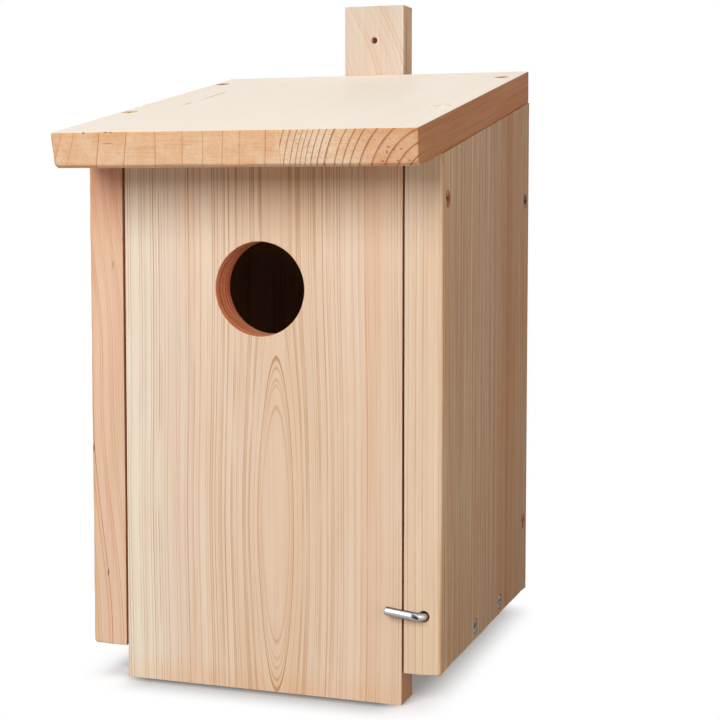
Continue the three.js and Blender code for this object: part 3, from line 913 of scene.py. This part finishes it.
# The roof's edges are eased along its top, and most under its eave.
def roofRounding(shares):
    lower = np.clip(-shares[..., 2], 0, 1)
    upper = np.clip(shares[..., 2], 0, 1)
    seam = boards["seamRounding"]
    drip = (boards["roofDripRounding"] - seam) * nearEnd(-shares[..., 1]) * lower
    return seam + drip + (boards["roofTopRounding"] - seam) * upper


# A board between two corners, as it is.
def straightPlace(low, high):
    return lambda points: points + (low + high) / 2


# A door board: its left edge leans in towards its top by the lean times its height.
def leaningPlace(low, high, lean):
    def place(points):
        moved = points + (low + high) / 2
        share = (moved - low) / (high - low)
        moved[..., 0] += lean * share[..., 2] * (1 - share[..., 0])
        return moved
    return place


# A board whose height is stretched by how high the sawn plane is over its foot at that depth.
def sawnPlace(low, high):
    def place(points):
        moved = points + (low + high) / 2
        share = (moved[..., 2] - low[2]) / (high[2] - low[2])
        moved[..., 2] = low[2] + share * (sawnTop(moved[..., 1]) - low[2])
        return moved
    return place


# The roof lies on the sawn plane. A point lies between the lower and the upper face by its share of the
# thickness, and along them by its share of the length.
def roofPlace(low, high):
    rest = boards["jointGap"] / math.cos(roofPitch)
    thick = (high[2] - sawnTop(high[1])) * math.cos(roofPitch) - boards["jointGap"]
    print("roof thickness, mm:", round(thick / mm, 2))
    backY = sideHigh[1]
    eaveY = sideLow[1] - boards["roofOverhang"]
    eaveLow = np.array([0, eaveY, sawnTop(eaveY) + rest])
    eaveHigh = eaveLow + thick * np.array(roofUp)
    backLow = np.array([0, backY, sawnTop(backY) + rest])
    backHigh = backLow + np.array([0, 0, thick / math.cos(roofPitch)])

    def place(points):
        share = (points + roofSize / 2) / roofSize
        along, up = share[..., 1:2], share[..., 2:3]
        lower = eaveLow + (backLow - eaveLow) * along
        upper = eaveHigh + (backHigh - eaveHigh) * along
        moved = lower + (upper - lower) * up
        moved[..., 0] = points[..., 0]
        return moved
    roofSize = np.array([high[0] - low[0], np.linalg.norm(backLow - eaveLow), thick])
    return place, roofSize


# A wood screw, and the room in the hole that it sits in.
screw = {
    "radius": 1.75 * mm,
    "headRadius": 3.6 * mm,
    "rim": 0.5 * mm,
    "rimEasing": 0.12 * mm,
    "neck": 0.5 * mm,  # plain shank under the head's cone
    "gap": 0.3 * mm,
    "headGap": 0.15 * mm,
    "mouth": 0.15 * mm,  # easing of the hole's edge
    "mouthLift": 0.1 * mm,
    "sideLift": 0.75 * mm,  # the side screws' heads, over the plain heads that they stand for
    "tipLength": 5 * mm,
    "coreRadius": 1.2 * mm,
    "smoothShank": 12 * mm,
    "threadRunIn": 0.4 * mm,
    "threadPitch": 1.8 * mm,
    "rowsPerPitch": 8,
    "headRows": 20,
    "tipRows": 14,
    "recessDepth": 1.3 * mm,
    "recessReach": 2.25 * mm,
    "recessWidth": 0.5 * mm,
    "recessWall": 0.22 * mm,  # how far the walls of its arms lean
    "recessSlope": 0.55 * mm,  # and their ends
    "recessTurn": 0.61,  # radians from each screw to the next
    "facets": 48,
}
holeFacets = 40
overrun = 3 * mm  # of every cutter past the face that it opens


# The profile of a screw's hole, as [radius, height over the head]: point, shank, cone and eased mouth.
def screwHole(length):
    gap, mouth = screw["gap"], screw["mouth"]
    shank = screw["radius"] + gap
    head = screw["headRadius"] + screw["headGap"]
    cone = screw["headRadius"] - screw["radius"]
    return [
        [0, -length - gap],
        [shank, -length - gap + screw["tipLength"]],
        [shank, -screw["rim"] - cone - gap],
        [head, -screw["rim"] - gap],
        [head, screw["mouthLift"]],
        [head + mouth, screw["mouthLift"] + mouth],
        [head + mouth, overrun],
        [0, overrun],
    ]


# Where a screw's head is, and its length: the head's disc touches the node's box, so its middle lies in
# from the box's side by the disc's reach along each axis.
def screwSeat(node, outward):
    low, high = corners(node)
    outward = np.array(outward)
    reach = screw["headRadius"] * np.sqrt(1 - outward ** 2)
    ahead, behind = outward > 0.01, outward < -0.01
    seat = np.where(ahead, high - reach, np.where(behind, low + reach, (low + high) / 2))
    tip = np.where(ahead, low, np.where(behind, high, seat))
    longest = np.argmax(abs(outward))
    return seat, abs((tip - seat)[longest] / outward[longest])


screws = {}
sideScrews = {
    "pivot_screw": "front_panel",
    "back_screw_upper": "back_panel",
    "back_screw_lower": "back_panel",
    "floor_screw_front": "floor_panel",
    "floor_screw_back": "floor_panel",
}
for hand, outward in {"left": leftward, "right": rightward}.items():
    for kind, into in sideScrews.items():
        screws[f"{kind}_{hand}"] = {"outward": outward, "holds": (f"{hand}_side", into)}
    for row in ("front", "back"):
        screws[f"roof_screw_{row}_{hand}"] = {"outward": roofUp, "holds": ("roof", f"{hand}_side")}
for row in ("upper", "middle", "lower"):
    screws[f"lath_screw_{row}"] = {"outward": backward, "holds": ("hanging_lath", "back_panel")}


def revolved(name, profile, facets, seat, outward):
    return meshPiece(name, [revolveSheet(profile, facets, seat, outward)])


def screwCutters(node):
    cutters = []
    for name, place in screws.items():
        if node in place["holds"]:
            seat, length = screwSeat(name, place["outward"])
            cutters.append(revolved("hole", screwHole(length), holeFacets, seat, place["outward"]))
    return cutters


entrance = {"radius": 22.5 * mm, "easing": 0.35 * mm, "drop": 63 * mm, "facets": 160}
kerf = {"count": 5, "start": 15 * mm, "pitch": 12 * mm, "width": 3 * mm, "depth": 2 * mm, "easing": 0.3 * mm,
        "tickSpacing": 40 * mm}
entranceZ = sawnTop(sideLow[1]) - entrance["drop"]
print("entrance height, mm:", round(entranceZ / mm, 2))


# The entrance's cutter: a cylinder whose ends flare out in quarter circles, so that the rims are eased. The
# flare's radius is the entrance's plus the easing times one less the cosine of a turn.
def entranceCutter(low, high):
    radius, easing = entrance["radius"], entrance["easing"]
    turn = np.radians(np.linspace(0, 90, 6))
    flare = np.stack([radius + easing * (1 - np.cos(turn)), easing * np.sin(turn)], -1)
    thick = high[1] - low[1]
    front = np.stack([flare[::-1, 0], easing - flare[::-1, 1]], -1)
    back = np.stack([flare[:, 0], thick - easing + flare[:, 1]], -1)
    wide = radius + easing
    start = [[0, -overrun], [wide, -overrun]]
    end = [[wide, thick + overrun], [0, thick + overrun]]
    profile = np.concatenate([start, front, back, end])
    return revolved("entranceCutter", profile, entrance["facets"], (0, low[1], entranceZ), backward)


# Saw kerfs across the inside of the door, each a shallow slot with rounded edges at its floor.
def kerfCutters(low, high):
    cutters = []
    size = (high[0] - low[0] + 2 * overrun, 2 * kerf["depth"], kerf["width"])
    easing = kerf["easing"]
    for k in range(kerf["count"]):
        z = entranceZ - entrance["radius"] - kerf["start"] - k * kerf["pitch"]
        middle = np.array([0, high[1], z])
        place = straightPlace(middle, middle)
        sheets = boardSheets(size, easing, evenRounding(easing), place, kerf["tickSpacing"])
        cutters.append(meshPiece("kerf", sheets))
    return cutters


nailHole = {"radius": 1.75 * mm, "drop": 19.5 * mm}
drain = {"radius": 2.5 * mm, "inset": 22 * mm}
hookMouth = {"radius": 2.7 * mm, "easing": 0.12 * mm, "depth": 0.9 * mm}
hookPilot = {"radius": 2.35 * mm, "depth": 26.3 * mm}
holeEasing = 0.35 * mm
hookPlace = next(joint["pos_m"] for joint in frame["joints"] if joint["name"] == "hook_turn")


def throughHole(name, radius, seat, outward, length):
    wide = radius + holeEasing
    profile = [[0, -overrun], [wide, -overrun], [wide, 0], [radius, holeEasing],
               [radius, length - holeEasing], [wide, length], [wide, length + overrun], [0, length + overrun]]
    return revolved(name, profile, holeFacets, seat, outward)


def extraCutters(node, low, high):
    if node == "front_panel":
        return [entranceCutter(low, high), *kerfCutters(low, high)]
    if node == "hanging_lath":
        seat = ((low[0] + high[0]) / 2, low[1], high[2] - nailHole["drop"])
        return [throughHole("nailHole", nailHole["radius"], seat, backward, high[1] - low[1])]
    if node == "floor_panel":
        inset, thick = drain["inset"], high[2] - low[2]
        seats = [(x, y, low[2]) for x in (low[0] + inset, high[0] - inset)
                 for y in (low[1] + inset, high[1] - inset)]
        return [throughHole("drain", drain["radius"], seat, upward, thick) for seat in seats]
    if node == "right_side":
        radius, easing, depth = hookMouth["radius"], hookMouth["easing"], hookMouth["depth"]
        thin, deep = hookPilot["radius"], hookPilot["depth"]
        profile = [[0, -overrun], [radius + easing, -overrun], [radius + easing, 0], [radius, easing],
                   [radius, depth], [thin, depth], [thin, deep], [0, deep]]
        return [revolved("hookMouth", profile, holeFacets, hookPlace, backward)]
    return []


def makeBoard(node, grain):
    low, high = corners(node)
    size, place = high - low, straightPlace(low, high)
    nominal = boards["rounding"]
    roundingAt = evenRounding(nominal)
    if node == "front_panel":
        place = leaningPlace(low, high, boards["doorLean"])
    if node in ("left_side", "right_side", "back_panel"):
        place = sawnPlace(low, high)
    if node in ("left_side", "right_side"):
        nominal = boards["sideOuterRounding"]
        roundingAt = sideRounding(1.0 if node == "right_side" else -1.0)
    if node == "roof":
        place, size = roofPlace(low, high)
        nominal = boards["roofDripRounding"]
        roundingAt = roofRounding
    piece = meshPiece(node + "_board", boardSheets(size, nominal, roundingAt, place))
    cutAway(piece, [*screwCutters(node), *extraCutters(node, low, high)])
    piece.data.materials.clear()
    piece.data.materials.append(woodMaterial(node + "_wood", grain))
    standFor(piece, node)


woods["front_panel"]["bore"] = (0.0, entranceZ, entrance["radius"])
for node, ownGrain in woods.items():
    seats = [tuple(screwSeat(name, place["outward"])[0]) for name, place in screws.items()
             if place["holds"][0] == node]
    makeBoard(node, {**commonGrain, **ownGrain, "screwSeats": seats})
    print("board made:", node)


# Metal

metals = {
    "yellow_zinc": {"light": (0.60, 0.24, 0.09), "dark": (0.26, 0.07, 0.02),
                    "metallic": 0.15, "roughness": 0.5},
    "brown_zinc": {"light": (0.34, 0.08, 0.02), "dark": (0.08, 0.015, 0.008),
                   "patch": 0.9, "roughness": 0.42},
    "bright_zinc": {"light": (0.20, 0.175, 0.165), "dark": (0.045, 0.038, 0.038), "patch": 0.9},
    "pale_brass": {"light": (0.78, 0.56, 0.16), "dark": (0.10, 0.05, 0.01)},
    "pale_zinc": {"light": (0.80, 0.72, 0.62), "dark": (0.40, 0.30, 0.22), "patch": 0.7, "roughness": 0.35},
    "black_brass": {"light": (0.10, 0.022, 0.008), "dark": (0.04, 0.008, 0.004),
                    "patch": 0.6, "metallic": 0.1, "roughness": 0.5, "footColour": (0.52, 0.21, 0.08),
                    "foot": screwSeat("back_screw_upper_right", rightward)[0][2] - 1.7 * mm},
}
commonMetal = {"patch": 1.0, "roughness": 0.3, "metallic": 1.0}
screwLooks = {
    "roof_screw_front_left": "pale_brass",
    "roof_screw_front_right": "pale_zinc",
    "back_screw_upper_right": "black_brass",
}


# Plating: soft patches of a darker tone, painted shade where the head is sunk in its cross recess, and fine
# grit as relief. One screw's foot has a colour of its own, below a ragged line.
def metalMaterial(name, look):
    material, start = newMaterial(name)
    place = start.node("ShaderNodeTexCoord", {}, {}, "Object")
    sunk = start.node("ShaderNodeAttribute", {"attribute_name": "sunk"}, {}, "Fac")
    patches = place.noise(1000.0, 2.0, 0.6).rise(0.42, 0.6) * look["patch"]
    grit = place.noise(5200.0, 2.0, 0.6)
    tone = blendColours(patches, look["light"], look["dark"])
    if "foot" in look:
        above = place.dot(upward) + (grit - 0.5) * mm - look["foot"]
        tone = blendColours(above.rise(0.5 * mm, -0.5 * mm), tone, look["footColour"])
    # painted shade: near black inside the cross recess
    tone = blendColours(sunk.rise(0.3, 0.8) * 0.85, tone, (0.02, 0.012, 0.008))
    rough = look["roughness"] + patches * 0.15 + grit * 0.08
    bump = grit.node("ShaderNodeBump", {}, {"Height": grit, "Strength": 0.25, "Distance": 0.02 * mm})
    fixed = {"Metallic": look["metallic"], "Specular IOR Level": 0.2}
    finishMaterial(start, fixed, {"Base Color": tone, "Roughness": rough, "Normal": bump})
    return material


platings = {name: metalMaterial(name, {**commonMetal, **look}) for name, look in metals.items()}


# A thread's ridge: it falls from 1 to 0 and rises again once each pitch, moved on by the angle over a turn.
def threadWave(height, turn, pitch):
    return abs(((height / pitch + turn / (2 * math.pi)) % 1) * 2 - 1)


# A countersunk screw. Rows run from the head's middle over its rim and cone, down the shank and the thread
# to the tip. The thread adds to the core radius a ridge that peaks once each pitch. The head is sunk by a
# cross recess, deepest where a point is near the line of either arm and near the middle.
def screwSheet(length, seat, outward, roll):
    head, shank, core = screw["headRadius"], screw["radius"], screw["coreRadius"]
    flat = np.linspace(0, head - screw["rimEasing"], screw["headRows"])
    coneEnd = -screw["rim"] - (head - shank)
    threadStart = -screw["smoothShank"] - screw["threadRunIn"]
    threadEnd = screw["tipLength"] - length
    steps = int((threadStart - threadEnd) / screw["threadPitch"] * screw["rowsPerPitch"])
    collar = [[head, -screw["rimEasing"], 0], [head, -screw["rim"], 0], [shank, coneEnd, 0],
              [shank, coneEnd - screw["neck"], 0], [shank, -screw["smoothShank"], 0]]
    taper = np.linspace(1, 0, screw["tipRows"])[1:]
    rows = np.concatenate([  # radius, height and how far the thread is grown
        np.stack([flat, 0 * flat, 0 * flat], -1),
        collar,
        np.stack([np.full(steps, core), np.linspace(threadStart, threadEnd, steps), np.ones(steps)], -1),
        np.stack([core * taper, screw["tipLength"] * taper - length, taper], -1),
    ])
    turn = np.repeat(fullTurn(screw["facets"])[None], len(rows), 0)
    radius, height, grown = [np.repeat(column[:, None], screw["facets"], 1) for column in rows.T]
    ridge = np.clip(threadWave(height, turn, screw["threadPitch"]) * 2.4 - 1.4, 0, 1)
    radius = radius + grown * (shank - core) * ridge
    x, y = radius * np.cos(turn - roll), radius * np.sin(turn - roll)

    def arm(beside, ahead):
        wall = np.clip(1 - (abs(beside) - screw["recessWidth"]) / screw["recessWall"], 0, 1)
        return wall * np.clip((screw["recessReach"] - abs(ahead)) / screw["recessSlope"], 0, 1)

    onHead = np.arange(len(rows))[:, None] < len(flat)
    sunk = np.maximum(arm(x, y), arm(y, x)) * onHead
    height = height - sunk * screw["recessDepth"]
    first, second = crossAxes(outward)
    ring = np.cos(turn)[..., None] * first + np.sin(turn)[..., None] * second
    points = np.array(seat) + radius[..., None] * ring + height[..., None] * np.array(outward)
    return points, gridFaces(points.shape[:2], True), sunk


for count, (name, place) in enumerate(screws.items()):
    outward = place["outward"]
    seat, length = screwSeat(name, outward)
    lift = screw["sideLift"] * abs(outward[0])
    seat = seat + lift * np.array(outward)
    *sheet, sunk = screwSheet(length + lift, seat, outward, screw["recessTurn"] * count)
    plating = platings[screwLooks.get(name, slotOfNode[name])]
    standFor(meshPiece(name + "_body", [sheet], plating, 30, sunk), name)
print("screws made:", len(screws))


hook = {
    "wireRadius": 2.0 * mm,
    "reach": 18.1 * mm,
    "standoff": 3.0 * mm,
    "bendRadius": 4.4 * mm,
    "shankLength": 26 * mm,
    "tipLength": 6 * mm,
    "endEasing": 0.7 * mm,
    "threadStart": 8 * mm,
    "threadPitch": 1.5 * mm,
    "threadDepth": 0.4 * mm,
    "tilt": math.radians(6.8),
    # the wire's colours: lit, with painted shade on its underside, and dark for the painted shade lines and
    # the patch near the bend
    "light": (0.48, 0.49, 0.51),
    "under": (0.36, 0.36, 0.37),
    "dark": (0.05, 0.045, 0.045),
    "roughness": 0.28,
    "stainAt": (-3.2 * mm, -4.6 * mm, 0.7 * mm),  # from the hook's turning point
    "stainHalves": (2.3 * mm, 0.85 * mm),
    "stainTurn": math.radians(28),
    "endRows": 7,
    "armRows": 14,
    "bendRows": 17,
    "shankRows": 130,
    "facets": 40,
}


# The hook's wire: a circle carried along an arm, a quarter bend and a shank that lie in one plane. The
# radius falls in a quarter circle at the free end, dips with the thread along the shank and runs to a point
# at its tip.
def hookSheet(look):
    bend, standoff, wire, easing = look["bendRadius"], look["standoff"], look["wireRadius"], look["endEasing"]
    quarter = np.radians(np.linspace(0, 90, look["endRows"]))
    straight = np.linspace(easing, look["reach"] - bend, look["armRows"])[1:]
    arm = np.concatenate([easing * (1 - np.cos(quarter)), straight])
    arc = np.radians(np.linspace(0, 90, look["bendRows"]))[1:]
    shank = np.linspace(0, look["shankLength"] - (bend - standoff), look["shankRows"])[1:]
    depth = bend - standoff + shank
    path = np.concatenate([
        np.stack([arm - look["reach"], 0 * arm - standoff, 0 * arm], -1),
        np.stack([bend * np.sin(arc) - bend, bend * (1 - np.cos(arc)) - standoff, arc], -1),
        np.stack([0 * shank, depth, np.full(len(shank), math.pi / 2)], -1),
    ])
    along, into, heading = [column[:, None] for column in path.T]
    eased = np.clip(1 - arm / easing, 0, 1)
    point = np.clip((look["shankLength"] - depth) / look["tipLength"], 0, 1)
    armRadius = wire - easing * (1 - np.sqrt(1 - eased ** 2))
    radius = np.concatenate([armRadius, np.full(len(arc), wire), wire * point])
    turn = np.repeat(fullTurn(look["facets"])[None], len(path), 0)
    dip = np.clip(threadWave(into, turn, look["threadPitch"]) * 2, 0, 1) * look["threadDepth"]
    dip = dip * np.clip((into - look["threadStart"]) / mm, 0, 1)
    wall = np.maximum(radius[:, None] - dip, 0)
    side, rise = np.cos(turn) * wall, np.sin(turn) * wall
    points = np.stack([along - side * np.sin(heading), into + side * np.cos(heading), rise], -1)
    ends = [points[[row]].mean(1, keepdims=True).repeat(look["facets"], 1) for row in (0, -1)]
    points = np.concatenate([ends[0], points, ends[1]])
    cosine, sine = math.cos(look["tilt"]), math.sin(look["tilt"])
    tilted = points @ np.array([[cosine, 0, -sine], [0, 1, 0], [sine, 0, cosine]])
    return tilted + np.array(hookPlace), gridFaces(points.shape[:2], True)


# Bright wire with painted shade by the direction its surface faces: darker on its underside and dark along
# its top and its very bottom; and a dark patch near the bend.
def hookMaterial(look):
    material, start = newMaterial("bright_wire")
    place = start.node("ShaderNodeTexCoord", {}, {}, "Object")
    normal = start.node("ShaderNodeTexCoord", {}, {}, "Normal")
    height = normal.dot(upward)
    soft = place.noise(420.0, 2.0, 0.5)
    # painted shade by the surface's direction: the underside darker, and dark lines along the top and the
    # very bottom
    tone = blendColours(height.rise(0.2, -0.5) * 0.9, look["light"], look["under"])
    tone = blendColours(height.rise(0.78, 0.95) * 0.85, tone, look["dark"])
    tone = blendColours(height.rise(-0.86, -0.98), tone, look["dark"])
    away = place.vector("SUBTRACT", tuple(np.array(hookPlace) + np.array(look["stainAt"])))
    cosine, sine = math.cos(look["stainTurn"]), math.sin(look["stainTurn"])
    long = away.dot((cosine, 0.0, -sine)) / look["stainHalves"][0]
    short = away.dot((sine, 0.0, cosine)) / look["stainHalves"][1]
    patchDistance = (long * long + short * short).root()
    tone = blendColours((1 - (patchDistance + soft * 0.5).rise(0.9, 1.4)), tone, look["dark"])
    rough = look["roughness"] + soft * 0.1
    finishMaterial(start, {"Metallic": 1.0}, {"Base Color": tone, "Roughness": rough})
    return material


standFor(meshPiece("turn_hook_wire", [hookSheet(hook)], hookMaterial(hook), 40), "turn_hook")
print("hook made")

makeWorld(studio)
makeFloor(studio)
for name, softbox in studio["softboxes"].items():
    makeSoftbox(name, *softbox)
bpy.context.scene.view_settings.view_transform = "Standard"
print("studio made")

bpy.context.view_layer.update()
